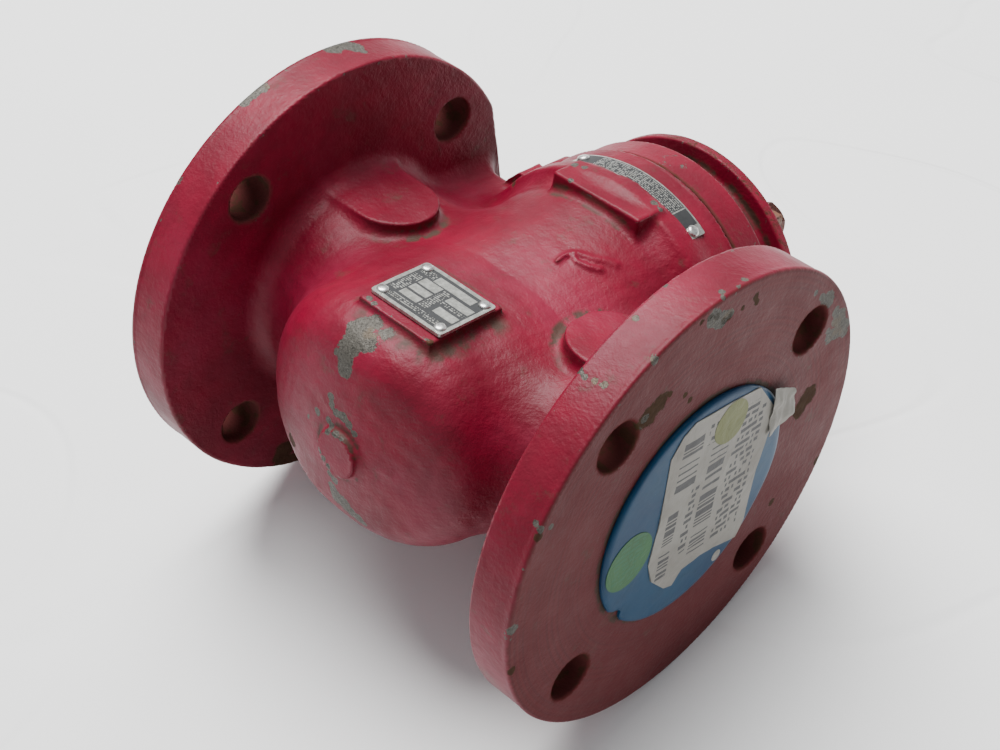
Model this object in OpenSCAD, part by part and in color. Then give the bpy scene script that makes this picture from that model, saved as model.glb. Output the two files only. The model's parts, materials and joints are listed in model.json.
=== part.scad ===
// Lubricated quarter-turn plug valve, NPS 3, class 125 flat-faced flanges, lying on its side.
// The valve is drawn upright: pipe along X, stem up along +Z, nameplate side facing -Y, and its
// centre where the pipe and the stem cross. lay_down() then rests it on its flanges and top plate.

/* [Flanges] */
// Distance between the two flange faces
face_to_face = 203.2; // [196:0.1:220]
// Outside diameter of each flange
flange_od = 190.5; // [186:0.5:196]
// Thickness of each flange
flange_t = 19.05; // [16:0.05:22]
// Diameter of the bolt circle
bolt_circle_d = 152.4; // [148:0.1:156]
// Diameter of the inlet flange's bolt holes
inlet_hole_d = 19.05; // [16:0.05:20]
// Diameter of the outlet flange's bolt holes
outlet_hole_d = 19.4; // [16:0.05:20]
// Diameter of the round flow passage at the flange faces
bore_d = 76.2; // [72:0.1:78]

/* [Plug] */
// Width of the port through the plug
port_w = 34; // [28:1:36]
// Height of the port through the plug
port_h = 70; // [60:1:74]
// Radius of the plug seat at its lower end
seat_r_low = 33; // [31:0.5:34]
// Radius of the plug seat at its upper end
seat_r_high = 40; // [38:0.5:41]
// Radial gap between the plug and the parts it turns in
running_gap = 0.05; // [0.02:0.01:0.1]
// Diameter of the round stem
stem_d = 32; // [30:0.5:34]
// Width across the flats of the square for the wrench
square_af = 22.2; // [20:0.1:24]
// Height of the stem's end above the pipe axis
stem_top = 176; // [174:1:182]
// Opening angle of the stops
stop_travel = 90; // [80:1:95]

/* [Body] */
// Radius of the round collar that carries the cover
collar_r = 62.5; // [62:0.5:65]
// Height of the collar's top face above the pipe axis
collar_top = 86.5; // [84:0.5:88]
// Depth of the body's lower end below the pipe axis
body_depth = 75; // [74:1:80]
// Half thickness of the lower body across the nameplate
barrel_r = 45.5; // [43:0.5:47]
// Half spread of the lower body along the pipe
barrel_spread = 11.5; // [10:0.5:16]
// Radius of the body just below the collar
shoulder_r = 55.5; // [54:0.5:57]
// Radius of the D-shaped boss on the back of each flange
d_boss_r = 18.7; // [16:0.1:20]

/* [Cover and top plate] */
// Radius of the cover ring
cover_r = 61; // [60.5:0.5:62]
// Thickness of the cover ring
cover_t = 15.5; // [14:0.5:18]
// Radius of the plate on top of the cover
top_plate_r = 59; // [57:0.5:61]
// Thickness of that plate
top_plate_t = 5; // [4:0.5:7]
// Number of cover screws
cover_screw_count = 8; // [6:1:8]
// Number of top plate screws
plate_screw_count = 4; // [3:1:4]

/* [Port protectors] */
// Radius of the plastic disc over each flow passage
protector_r = 49.7; // [46:0.1:52]
// Thickness of the disc
protector_t = 2.5; // [2:0.1:4]
// Depth of its rim inside the passage
protector_rim_depth = 12; // [8:1:16]

/* [Hidden] */

$fn = 96;
paint_red = [0.66, 0.11, 0.16];
sheet_metal = [0.66, 0.67, 0.65];
steel = [0.5, 0.5, 0.5];
protector_blue = [0.16, 0.36, 0.52];

face_x = face_to_face / 2;
flange_back_x = face_x - flange_t;
flange_r = flange_od / 2;
bore_r = bore_d / 2;
stem_r = stem_d / 2;

// Heights along the stem, from the pipe axis
seat_bottom = -50;
seat_top = 50;
plug_bottom = -46;
plug_top = 48;
recess_r = 46;
gasket_t = 2;
cover_bottom = collar_top + gasket_t;
cover_top = cover_bottom + cover_t;
hub_t = 13;
hub_r = 50;
plate_bottom = cover_top + hub_t;
plate_top = plate_bottom + top_plate_t;
spigot_bottom = 52;
square_bottom = 140;

// Stem parts
stuffing_r = 26;
stuffing_bottom = 84;
packing_h = 6;
sealant_r = 5.2;
sealant_head_r = 10.2;
sealant_head_h = 8.5;
check_r = 4;
check_seat_z = 70;
check_ball_r = 3.4;
check_seat_hole_r = 2;
collar_h = 9;
stop_ring_r = 23;
stop_lug_r = 34;
stop_lug_half = 30;
stop_pin_r = 3.5;
stop_pin_circle_r = 29.6;
ring_groove_r = 15;
ring_t = 2;

// Fasteners, 5/16 inch
screw_r = 3.97;
screw_hole_r = 4.1;
screw_head_r = 5.95;
screw_head_h = 7.94;
cover_screw_circle_r = 53.5;
plate_screw_circle_r = 42;
hex_af = 12.7;
hex_h = 5.3;
washer_t = 1.5;

// Castings
boss_top_y = 45;
inlet_boss_reach = 39;
outlet_boss_reach = 47;
boss_shift = 2;
crown = 2;
barrel_corner = 14;
barrel_shift = [-3.4, 0.5, 0];
collar_low = 60;
rim_flat = 90.8;
rim_flat_angle = 15.7;
neck_fillet = 6;
rib_half = 20;
rib_top = 80;
pad_top_y = 48.5;
plate_top_y = 50;
collar_pad_y = 61.5;
lug_low = 74;
lug_high = 88.5;
lug_screw_at = [-54, -28.5];
lug_screw_r = 6;
band_angle = 60;
label_tail_t = 2.6;

// Angle by which the stem droops when the valve rests on both flange rims and the top plate's rim
lie_angle = asin(flange_r / norm([plate_top, top_plate_r])) - atan2(top_plate_r, plate_top);

// Turns the upright valve onto its side and puts the origin at the centre of the inlet flange face
module lay_down() {
    translate([face_x, 0, 0]) rotate([-90 - lie_angle, 0, 0]) children();
}

// Repeats its children around the stem axis, at a radius
module around_stem(count, radius, start = 0) {
    for (i = [0 : count - 1]) rotate([0, 0, start + i * 360 / count]) translate([radius, 0, 0]) children();
}

// A cylinder along X between two places
module along_x(x1, x2, r1, r2) {
    translate([x1, 0, 0]) rotate([0, 90, 0]) cylinder(h = x2 - x1, r1 = r1, r2 = r2);
}

// A flat ring about the stem axis
module washer(z1, z2, inner_r, outer_r) {
    difference() {
        translate([0, 0, z1]) cylinder(h = z2 - z1, r = outer_r);
        translate([0, 0, z1 - 1]) cylinder(h = z2 - z1 + 2, r = inner_r);
    }
}

// A rectangle with round corners, centred
module rounded_rectangle(w, h, r) {
    square([w - 2 * r, h], center = true);
    square([w, h - 2 * r], center = true);
    for (x = [-1, 1], y = [-1, 1]) translate([x * (w / 2 - r), y * (h / 2 - r)]) circle(r = r);
}

// The rectangular passage along X between two places
module port_slot(x1, x2) {
    translate([x1, 0, 0]) rotate([90, 0, 90]) linear_extrude(x2 - x1) rounded_rectangle(port_w, port_h, 7);
}

// Half outline of the lower body, with a round lower corner
function lower_outline(r, corner) = concat(
    [[0, -body_depth - crown], [r - corner - 8, -body_depth]],
    [for (a = [-75 : 15 : 0]) [r - corner + corner * cos(a), corner - body_depth + crown + corner * sin(a)]],
    [[r, 0], [0, 0]]
);

// Outside of the casting around the plug, wider along the pipe than across it
module barrel() {
    hull() {
        for (x = [-barrel_spread, barrel_spread]) translate(barrel_shift + [x, 0, 0])
            rotate_extrude($fn = 32) polygon(lower_outline(barrel_r, barrel_corner));
        translate([0, 0, 44]) cylinder(h = 18, r = shoulder_r, $fn = 48);
    }
    translate([0, 0, collar_low - 8]) cylinder(h = 8, r1 = shoulder_r, r2 = collar_r);
    translate([0, 0, collar_low]) cylinder(h = collar_top - collar_low, r = collar_r);
    translate([-2, 5, -body_depth - crown - 2.5]) cylinder(h = 7, r = 10);
}

// Outside of one neck, flat at the plug and round at the flange, with the rib up to the collar
module neck() {
    hull() {
        translate([30, 0, 0]) rotate([90, 0, 90]) linear_extrude(8) rounded_rectangle(68, 88, 24, $fn = 32);
        along_x(flange_back_x - 6, flange_back_x, 47, 47, $fn = 48);
    }
    along_x(flange_back_x - neck_fillet, flange_back_x + 1, 46, 53);
    translate([0, 0, 20]) linear_extrude(rib_top - 20) polygon([
        [48, -rib_half - 9], [60, -rib_half - 6], [67, -rib_half], [75, -rib_half],
        [flange_back_x + 1, -rib_half - 8], [flange_back_x + 1, rib_half + 8],
        [75, rib_half], [67, rib_half], [60, rib_half + 6], [48, rib_half + 9]
    ]);
}

// One flange with its four bolt holes, two above and two below the pipe axis
module flange(hole_d) {
    difference() {
        along_x(flange_back_x, face_x, flange_r, flange_r);
        for (a = [45 : 90 : 315]) rotate([a, 0, 0]) translate([flange_back_x - 1, bolt_circle_d / 2, 0])
            rotate([0, 90, 0]) cylinder(h = flange_t + 2, d = hole_d);
    }
}

// What the short flat on the inlet flange's rim takes away, on the stem side
module rim_flat_cut() {
    rotate([rim_flat_angle, 0, 0]) translate([-face_x - 1, -60, rim_flat]) cube([flange_t + 2, 120, 10]);
}

// D-shaped boss on the back of a flange, on both faces of the valve
module d_boss(reach) {
    centre_x = flange_back_x - reach + d_boss_r;
    boss_h = boss_top_y - 25;
    for (side = [-1, 1]) translate([0, side < 0 ? -boss_top_y : 25, boss_shift]) {
        translate([centre_x, boss_h, 0]) rotate([90, 0, 0]) cylinder(h = boss_h, r = d_boss_r);
        translate([centre_x, 0, -d_boss_r]) cube([flange_back_x - centre_x + 1, boss_h, 2 * d_boss_r]);
    }
}

// Square-cornered lug on the inlet side of the collar
module collar_lug() {
    difference() {
        translate([0, 0, lug_low]) linear_extrude(lug_high - lug_low)
            polygon([[-40, -33.5], [-60, -33.5], [-67, -26], [-67, 0], [-40, 0]]);
        translate([0, 0, collar_top]) cylinder(h = 10, r = collar_r);
        translate([lug_screw_at[0], lug_screw_at[1], collar_top]) cylinder(h = 10, r = lug_screw_r + 0.8);
    }
}

// Everything that is cut out of the body casting
module body_hollows() {
    translate([0, 0, seat_bottom]) cylinder(h = seat_top - seat_bottom, r1 = seat_r_low, r2 = seat_r_high);
    translate([0, 0, seat_top - 0.01]) cylinder(h = collar_top - seat_top + 1, r = recess_r);
    translate([0, 0, seat_bottom - 14]) cylinder(h = 15, r = 26);
    port_slot(-52, 52);
    for (side = [0, 180]) rotate([0, 0, side]) {
        along_x(flange_back_x - 6, face_x + 1, bore_r, bore_r);
        hull() {
            port_slot(46, 47);
            along_x(flange_back_x - 6, flange_back_x - 5, bore_r, bore_r, $fn = 32);
        }
    }
    around_stem(cover_screw_count, cover_screw_circle_r)
        translate([0, 0, collar_top - 20]) cylinder(h = 21, r = screw_hole_r);
    translate([lug_screw_at[0], lug_screw_at[1], 66]) cylinder(h = 20, r = 3);
}

module valve_body() {
    lay_down() color(paint_red) difference() {
        union() {
            barrel();
            for (side = [0, 180]) rotate([0, 0, side]) {
                neck();
                flange(side == 0 ? outlet_hole_d : inlet_hole_d);
                d_boss(side == 0 ? outlet_boss_reach : inlet_boss_reach);
            }
            translate([-18, -pad_top_y, -58]) cube([37, 12, 38]);
            translate([-22.5, -collar_pad_y, 48.5]) cube([45, 20, 16.5]);
            collar_lug();
        }
        body_hollows();
        rim_flat_cut();
        for (p = nameplate_pin_places()) translate([p[0], -pad_top_y + 6, p[1]])
            rotate([90, 0, 0]) cylinder(h = 7, r = 1.2, $fn = 24);
        for (a = band_pin_angles()) rotate([0, 0, a]) translate([collar_r - 5, 0, 70.75])
            rotate([0, 90, 0]) cylinder(h = 6, r = 1.2, $fn = 24);
    }
}

// The tapered plug with its port, its stem, the square, and the sealant passages
module plug() {
    lay_down() color(steel) difference() {
        union() {
            translate([0, 0, plug_bottom]) cylinder(
                h = plug_top - plug_bottom,
                r1 = seat_radius(plug_bottom) - running_gap,
                r2 = seat_radius(plug_top) - running_gap
            );
            translate([0, 0, plug_top - 1]) cylinder(h = square_bottom - plug_top + 1, r = stem_r);
            intersection() {
                translate([0, 0, square_bottom - 1])
                    cylinder(h = stem_top - square_bottom + 1, r = stem_r - 0.8);
                translate([-square_af / 2, -square_af / 2, square_bottom - 2])
                    cube([square_af, square_af, stem_top - square_bottom + 4]);
            }
        }
        port_slot(-50, 50);
        translate([0, 0, 100]) cylinder(h = stem_top - 99, r = sealant_r);
        translate([0, 0, 58]) cylinder(h = 43, r = check_r);
        translate([0, 0, 41]) cylinder(h = 18, r = 2);
        translate([0, 0, 42]) for (a = [45, 135]) rotate([0, 0, a]) rotate([0, 90, 0])
            cylinder(h = 100, r = 1.5, center = true);
        for (a = [45 : 90 : 315]) rotate([0, 0, a]) translate([seat_radius(plug_bottom) + 0.6, 0, -40])
            rotate([0, atan2(seat_r_high - seat_r_low, seat_top - seat_bottom), 0]) cylinder(h = 82, r = 1.8);
        rotate_extrude() translate([ring_groove_r, plate_top + 1 + collar_h])
            square([stem_r, ring_t]);
        translate([-20, stem_r - 1.2, plate_top + 1]) cube([40, 5, collar_h]);
        translate([0, 0, 59.5]) rotate([0, 90, 0]) cylinder(h = 16, r = 1, center = true);
    }
}

// Radius of the tapered seat at a height
function seat_radius(z) =
    seat_r_low + (seat_r_high - seat_r_low) * (z - seat_bottom) / (seat_top - seat_bottom);

module cover() {
    lay_down() color(paint_red) difference() {
        union() {
            translate([0, 0, cover_bottom]) cylinder(h = cover_t, r = cover_r);
            translate([0, 0, spigot_bottom])
                cylinder(h = cover_bottom - spigot_bottom + 1, r = recess_r - 0.3);
        }
        translate([0, 0, spigot_bottom - 1]) cylinder(h = 60, r = stem_r + running_gap);
        translate([0, 0, stuffing_bottom]) cylinder(h = 30, r = stuffing_r);
        around_stem(cover_screw_count, cover_screw_circle_r) {
            translate([0, 0, cover_bottom - 1]) cylinder(h = cover_t, r = screw_hole_r);
            translate([0, 0, cover_top - screw_head_h]) cylinder(h = 10, r = screw_head_r + 0.25);
        }
        around_stem(plate_screw_count, plate_screw_circle_r, 22.5)
            translate([0, 0, cover_top - 14]) cylinder(h = 15, r = screw_hole_r);
        translate([lug_screw_at[0], lug_screw_at[1], cover_bottom - 1])
            cylinder(h = 30, r = lug_screw_r + 0.8);
    }
}

module cover_gasket() {
    lay_down() color("black") difference() {
        washer(collar_top, cover_bottom, recess_r + 0.5, cover_r - 1.5);
        around_stem(cover_screw_count, cover_screw_circle_r)
            translate([0, 0, collar_top - 1]) cylinder(h = 4, r = screw_hole_r);
        translate([lug_screw_at[0], lug_screw_at[1], collar_top - 1]) cylinder(h = 4, r = lug_screw_r + 0.8);
    }
}

// Socket-head screw with its head's top at z = 0
module socket_screw(length) {
    difference() {
        union() {
            translate([0, 0, -screw_head_h]) cylinder(h = screw_head_h, r = screw_head_r);
            translate([0, 0, -screw_head_h - length]) cylinder(h = length + 1, r = screw_r);
        }
        translate([0, 0, -4]) cylinder(h = 5, r = 3.9, $fn = 6);
    }
}

module cover_screws() {
    lay_down() color(steel) around_stem(cover_screw_count, cover_screw_circle_r)
        translate([0, 0, cover_top]) socket_screw(28);
}

module thrust_washer() {
    lay_down() color("goldenrod") washer(plug_top + 0.3, spigot_bottom - 0.3, stem_r + 0.4, 39);
}

// One of the packing rings in the stuffing box, counted from below
module packing_ring(index) {
    low = stuffing_bottom + index * packing_h;
    lay_down() color("dimgray") washer(low + 0.05, low + packing_h - 0.05, stem_r + 0.3, stuffing_r - 0.1);
}

module gland_follower() {
    lay_down() color("darkgoldenrod")
        washer(stuffing_bottom + 3 * packing_h, cover_top + 4, stem_r + 0.3, stuffing_r - 0.3);
}

// Plate and hub that clamp the gland follower and carry the stops
module top_plate() {
    lay_down() color(paint_red) difference() {
        union() {
            translate([0, 0, cover_top]) cylinder(h = hub_t + 1, r = hub_r);
            translate([0, 0, plate_bottom]) cylinder(h = top_plate_t, r = top_plate_r);
        }
        translate([0, 0, cover_top - 1]) cylinder(h = 30, r = stem_r + 0.4);
        translate([0, 0, cover_top - 1]) cylinder(h = 5, r = stuffing_r);
        around_stem(plate_screw_count, plate_screw_circle_r, 22.5)
            translate([0, 0, cover_top - 1]) cylinder(h = 20, r = screw_hole_r);
        stop_pin_places() translate([0, 0, plate_top - 8]) cylinder(h = 10, r = stop_pin_r);
    }
}

module plate_lock_washers() {
    lay_down() color(steel) around_stem(plate_screw_count, plate_screw_circle_r, 22.5)
        washer(plate_top, plate_top + washer_t, screw_hole_r, 6.6, $fn = 48);
}

module plate_screws() {
    lay_down() color(steel) around_stem(plate_screw_count, plate_screw_circle_r, 22.5) {
        translate([0, 0, plate_top + washer_t]) cylinder(h = hex_h, r = hex_af / 2 / cos(30), $fn = 6);
        translate([0, 0, cover_top - 12]) cylinder(h = plate_top + washer_t - cover_top + 13, r = screw_r);
    }
}

// Places of the two stop pins, one on each side of the lug's travel
module stop_pin_places() {
    half_pin = asin(stop_pin_r / stop_pin_circle_r) + 0.6;
    for (a = [stop_lug_half + half_pin, -stop_lug_half - stop_travel - half_pin])
        rotate([0, 0, a + 135]) translate([stop_pin_circle_r, 0, 0]) children();
}

module stop_pins() {
    lay_down() color(steel) stop_pin_places()
        translate([0, 0, plate_top - 8]) cylinder(h = 8 + collar_h, r = stop_pin_r);
}

module stop_collar() {
    low = plate_top + 1;
    reach = 60;
    half_width = reach * tan(stop_lug_half);
    lay_down() color(steel) difference() {
        union() {
            translate([0, 0, low]) cylinder(h = collar_h, r = stop_ring_r);
            intersection() {
                translate([0, 0, low]) cylinder(h = collar_h, r = stop_lug_r);
                rotate([0, 0, 135]) translate([0, 0, low - 1]) linear_extrude(collar_h + 2)
                    polygon([[0, 0], [reach, -half_width], [reach, half_width]]);
            }
        }
        difference() {
            translate([0, 0, low - 1]) cylinder(h = collar_h + 2, r = stem_r);
            translate([-20, stem_r - 1.2, low - 2]) cube([40, 5, collar_h + 4]);
        }
    }
}

module retaining_ring() {
    lay_down() color(steel) rotate([0, 0, -60]) rotate_extrude(angle = 300)
        translate([ring_groove_r, plate_top + 1 + collar_h]) square([4, ring_t]);
}

// Headed screw that pushes sealant down the stem
module sealant_screw() {
    lay_down() color(steel) {
        translate([0, 0, stem_top + 0.2]) cylinder(h = sealant_head_h, r = sealant_head_r, $fn = 6);
        translate([0, 0, stem_top + sealant_head_h]) cylinder(h = 2, r1 = 8.4, r2 = 6);
        translate([0, 0, 116]) cylinder(h = stem_top - 115, r = sealant_r - running_gap);
    }
}

module check_seat() {
    lay_down() color("goldenrod")
        washer(check_seat_z, check_seat_z + 4, check_seat_hole_r, check_r, $fn = 48);
}

// Ball just below its seat
module check_ball() {
    drop = sqrt(check_ball_r * check_ball_r - check_seat_hole_r * check_seat_hole_r) + 0.05;
    lay_down() color("silver") translate([0, 0, check_seat_z - drop]) sphere(r = check_ball_r, $fn = 48);
}

module check_retainer() {
    lay_down() color("silver") translate([0, 0, 59.5]) rotate([0, 90, 0])
        cylinder(h = 15, r = 1, center = true);
}

module collar_lug_screw() {
    lay_down() color(paint_red) translate([lug_screw_at[0], lug_screw_at[1], 0]) {
        translate([0, 0, collar_top + 0.1]) cylinder(h = 16, r = lug_screw_r);
        translate([0, 0, 68]) cylinder(h = 17, r = 2.95);
    }
}

// Places of the nameplate's pins: along the pipe, and along the stem
function nameplate_pin_places() = [for (x = [-13.8, 15.6], z = [-49.8, -27.2]) [x, z]];

// Directions of the band's two pins about the stem
function band_pin_angles() = [-113.5, -58.5];

module nameplate() {
    lay_down() color(sheet_metal) difference() {
        translate([-17, -plate_top_y, -53.2]) cube([36, plate_top_y - pad_top_y, 29]);
        for (p = nameplate_pin_places()) translate([p[0], -pad_top_y + 1, p[1]])
            rotate([90, 0, 0]) cylinder(h = 5, r = 1.3, $fn = 24);
    }
}

module nameplate_pins() {
    lay_down() color("silver") for (p = nameplate_pin_places())
        translate([p[0], 0, p[1]]) rotate([90, 0, 0]) {
        translate([0, 0, pad_top_y - 5]) cylinder(h = 7, r = 1.2, $fn = 24);
        translate([0, 0, plate_top_y]) cylinder(h = 1, r1 = 2.4, r2 = 1.5, $fn = 24);
    }
}

module lubrication_band() {
    lay_down() color(sheet_metal) difference() {
        rotate([0, 0, -116]) rotate_extrude(angle = band_angle) translate([collar_r + 0.05, 65.5])
            square([0.8, 10.5]);
        for (a = band_pin_angles()) rotate([0, 0, a]) translate([collar_r - 1, 0, 70.75])
            rotate([0, 90, 0]) cylinder(h = 4, r = 1.3, $fn = 24);
    }
}

module band_pins() {
    lay_down() color("silver") for (a = band_pin_angles()) rotate([0, 0, a]) translate([0, 0, 70.75])
        rotate([0, 90, 0]) {
            translate([0, 0, collar_r - 4.5]) cylinder(h = 5.4, r = 1.2, $fn = 24);
            translate([0, 0, collar_r + 0.85]) cylinder(h = 1.2, r1 = 2.6, r2 = 1.6, $fn = 24);
        }
}

// Disc with a rim that pushes into the flow passage, for the outlet
module protector() {
    color(protector_blue) {
        along_x(face_x, face_x + protector_t, protector_r, protector_r);
        difference() {
            along_x(face_x - protector_rim_depth, face_x + 0.5, bore_r - 0.4, bore_r - 0.4);
            along_x(face_x - protector_rim_depth - 1, face_x, bore_r - 2.9, bore_r - 2.9);
        }
    }
}

module outlet_protector() {
    lay_down() protector();
}

module inlet_protector() {
    lay_down() rotate([0, 0, 180]) protector();
}

// A thin flat piece stuck on the outlet protector.
// Its 2D x points away from the nameplate side, and its 2D y up the stem.
module stuck_on(lift, thickness) {
    translate([face_x + protector_t + lift, 0, 0]) rotate([90, 0, 90]) linear_extrude(thickness) children();
}

module shipping_label() {
    lay_down() color("ivory") stuck_on(0, 0.3)
        polygon([[-44, -14], [-44, 24], [-26, 40], [26, 38], [34, 34], [36, -3], [27, -18], [-34, -23]]);
    lay_down() color("ivory") stuck_on(0, label_tail_t)
        polygon([[-38, 34], [-34, 46], [-24, 51], [-17, 47], [-15, 37]]);
}

module green_sticker() {
    lay_down() color("mediumseagreen") stuck_on(0, 0.2) translate([6.5, -35.5]) circle(r = 12.4);
}

module olive_sticker() {
    lay_down() color("darkkhaki") stuck_on(0.3, 0.2) translate([-35.2, 9.4]) circle(r = 9.3);
}

valve_body();
plug();
cover();
cover_gasket();
cover_screws();
thrust_washer();
packing_ring(0);  // packing_ring_1
packing_ring(1);  // packing_ring_2
packing_ring(2);  // packing_ring_3
gland_follower();
top_plate();
plate_lock_washers();
plate_screws();
stop_pins();
stop_collar();
retaining_ring();
sealant_screw();
check_seat();
check_ball();
check_retainer();
collar_lug_screw();
nameplate();
nameplate_pins();
lubrication_band();
band_pins();
inlet_protector();
outlet_protector();
shipping_label();
green_sticker();
olive_sticker();
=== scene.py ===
"""Looks for a lubricated plug valve that lies on its side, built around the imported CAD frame.

Shapes are described in millimetres in the valve's own axes: x along the pipe, y away from the
nameplate side, z up the stem, with the origin where the pipe and the stem cross. to_row() turns
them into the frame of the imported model, in metres.
"""

import json
import math
from functools import reduce
from math import cos, pi, radians, sin

import bpy
import numpy as np
from mathutils import Matrix, Vector
from numpy import clip, hypot, maximum, minimum


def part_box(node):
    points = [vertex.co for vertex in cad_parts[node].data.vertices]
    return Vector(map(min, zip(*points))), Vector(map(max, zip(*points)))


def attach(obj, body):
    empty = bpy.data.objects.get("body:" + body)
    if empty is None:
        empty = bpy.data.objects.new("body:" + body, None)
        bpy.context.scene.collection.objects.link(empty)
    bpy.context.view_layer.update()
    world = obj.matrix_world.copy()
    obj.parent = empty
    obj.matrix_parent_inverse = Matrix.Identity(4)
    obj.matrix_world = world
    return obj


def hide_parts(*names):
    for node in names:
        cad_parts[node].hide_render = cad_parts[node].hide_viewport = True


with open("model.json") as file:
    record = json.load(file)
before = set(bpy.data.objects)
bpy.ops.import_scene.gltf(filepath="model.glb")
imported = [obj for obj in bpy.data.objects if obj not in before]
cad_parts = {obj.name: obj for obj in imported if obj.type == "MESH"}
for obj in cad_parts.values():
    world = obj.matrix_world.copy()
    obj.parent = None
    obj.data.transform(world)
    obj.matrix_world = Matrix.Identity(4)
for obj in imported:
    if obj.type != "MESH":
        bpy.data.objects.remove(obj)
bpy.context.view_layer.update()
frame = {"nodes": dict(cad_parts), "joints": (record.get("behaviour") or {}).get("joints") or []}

# ---- the valve's axes
MM = 0.001
turn = next(j for j in frame["joints"] if j["name"] == "plug_turn")
STEM = -np.array(turn["axis"], float)
PIPE = np.array([1.0, 0.0, 0.0])
BACK = np.cross(STEM, PIPE)
AXES = np.stack([PIPE, BACK, STEM])
CENTRE = np.array(turn["pos_m"], float)

body_low, body_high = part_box("valve_body")
FACE_X = (body_high.x - body_low.x) / 2 / MM
FLANGE_R = (body_high.z - body_low.z) / 2 / MM
FLOOR_Z = body_low.z

# ---- sizes, mm
FLANGE_T = 19.05
FLANGE_BACK = FACE_X - FLANGE_T
OUTLET_FACE = 101.6
BORE_R = 38.1
NECK_R = 47
BOLT_AT = 76.2 * math.sqrt(0.5)
BOLT_R = {"inlet": 9.525, "outlet": 9.7}
COLLAR_R = 62.5
COLLAR_TOP = 86.5
COVER_R = 61.0
COVER_LOW = 88.5
COVER_TOP = 104.0
HUB_R = 50.0
PLATE_LOW = 117.0
PLATE_TOP = 122.0
PLATE_R = 59.0
STEM_R = 16.0
STUFFING_R = 26.0
COVER_SCREW_AT = 53.5
PLATE_SCREW_AT = 42
PLATE_SCREW_START = 22.5
SCREW_HOLE_R = 4.1
STOP_AT = 135
STOP_PIN_AT = 29.6
LUG_SCREW = (-54.0, -28.5)
PAD_Y = -48.5
DISC_R = 49.7
DISC_T = 2.5


def to_row(points):
    """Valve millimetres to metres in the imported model's frame."""
    return CENTRE + (np.asarray(points, float) * MM) @ AXES


def show(made):
    bpy.context.scene.collection.objects.link(made)


# ---- signed distances
def round_union(a, b, r):
    """a and b joined, with a fillet of radius r between them."""
    fillet = hypot(maximum(r - a, 0), maximum(r - b, 0))
    return maximum(r, minimum(a, b)) - fillet


def round_meet(a, b, r):
    """What a and b share, with edges rounded to radius r."""
    edge = hypot(maximum(r + a, 0), maximum(r + b, 0))
    return minimum(-r, maximum(a, b)) + edge


def drum(u, v, w, radius, low, high, edge):
    """Cylinder along w between two heights."""
    return round_meet(hypot(u, v) - radius, maximum(low - w, w - high), edge)


def block(x, y, z, low, high, edge):
    """Box between two corners, with round edges."""
    q = [maximum(l - p, p - h) + edge for p, l, h in zip((x, y, z), low, high)]
    outside = np.sqrt(sum(maximum(a, 0) ** 2 for a in q))
    return outside + minimum(maximum(maximum(q[0], q[1]), q[2]), 0) - edge


def round_rectangle(u, v, half_u, half_v, corner):
    q, p = abs(u) - half_u + corner, abs(v) - half_v + corner
    return hypot(maximum(q, 0), maximum(p, 0)) + minimum(maximum(q, p), 0) - corner


def smooth(t):
    t = clip(t, 0, 1)
    return t * t * (3 - 2 * t)


def waves(x, y, z, length, seed, count=7):
    """Gentle unevenness, about 1 high, with that wavelength."""
    rng = np.random.RandomState(seed)
    total = 0.0
    for _ in range(count):
        d = rng.normal(size=3)
        d *= 2 * pi / length * rng.uniform(0.7, 1.5) / np.linalg.norm(d)
        total = total + np.sin(x * d[0] + y * d[1] + z * d[2] + rng.uniform(0, 2 * pi))
    return total / math.sqrt(count)


def around(x, y, count, start, radius):
    """Coordinates about the nearest of count places on a circle round the stem."""
    turn_by = 2 * pi / count
    angle = np.arctan2(y, x) - radians(start)
    angle = (angle + turn_by / 2) % turn_by - turn_by / 2
    r = hypot(x, y)
    return r * np.cos(angle) - radius, r * np.sin(angle)


def lower_body(x, y, z):
    """The cast bowl round the plug, longer along the pipe than across it, with a domed end."""
    low = clip((30 - z) / 70, 0, 1)
    x, y = x + 3.4 * low, y - 0.5 * low
    spread = 11.6 * clip((50 - z) / 60, 0, 1)
    radius = 45.7 + 0.23 * clip(z, 0, 52)
    side = (hypot(maximum(abs(x) - spread, 0), y) - radius) * 0.975
    dome = hypot(hypot(x * 1.2, y), z - 80.6) - 157.6
    return round_meet(round_meet(side, dome, 13.6), z - 66, 2)


def neck(x, y, z):
    """Both necks: flat-sided at the plug, round at the flange."""
    t = smooth((abs(x) - 36) / 42)
    flat = round_rectangle(y, z, 34, 44, 24)
    tube = hypot(y, z) - NECK_R
    return maximum(flat * (1 - t) + tube * t, abs(x) - 86)


def ribs(x, y, z):
    """The wide rib between each flange and the collar."""
    return block(abs(x), y, z, (45, -24, 20), (86, 24, 80), 4)


def flanges(x, y, z):
    """Both flanges. The inlet's has a flat cut on its rim."""
    disc = hypot(y, z) - FLANGE_R
    slab = maximum(FLANGE_BACK - abs(x), abs(x) - FACE_X)
    made = round_meet(disc, slab, 1.2)
    flat = np.where(x < 0, 0.963 * z - 0.271 * y - 90.8, -50)
    return round_meet(made, flat, 1.2)


def bolt_holes(x, y, z):
    """Four holes in each flange."""
    radius = np.where(x < 0, BOLT_R["inlet"], BOLT_R["outlet"])
    hole = hypot(abs(y) - BOLT_AT, abs(z) - BOLT_AT) - radius
    return maximum(hole, 70 - abs(x))


def d_bosses(x, y, z):
    """Round-ended flats beside each flange, on both sides of the pipe."""
    start = np.where(x < 0, 62.2, 54.2)
    along = abs(x) - clip(abs(x), start, 95)
    shape = maximum(hypot(along, z - 2) - 18.7, abs(x) - 95)
    return round_meet(shape, maximum(abs(y) - 45, 20 - abs(y)), 1.2)


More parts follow.
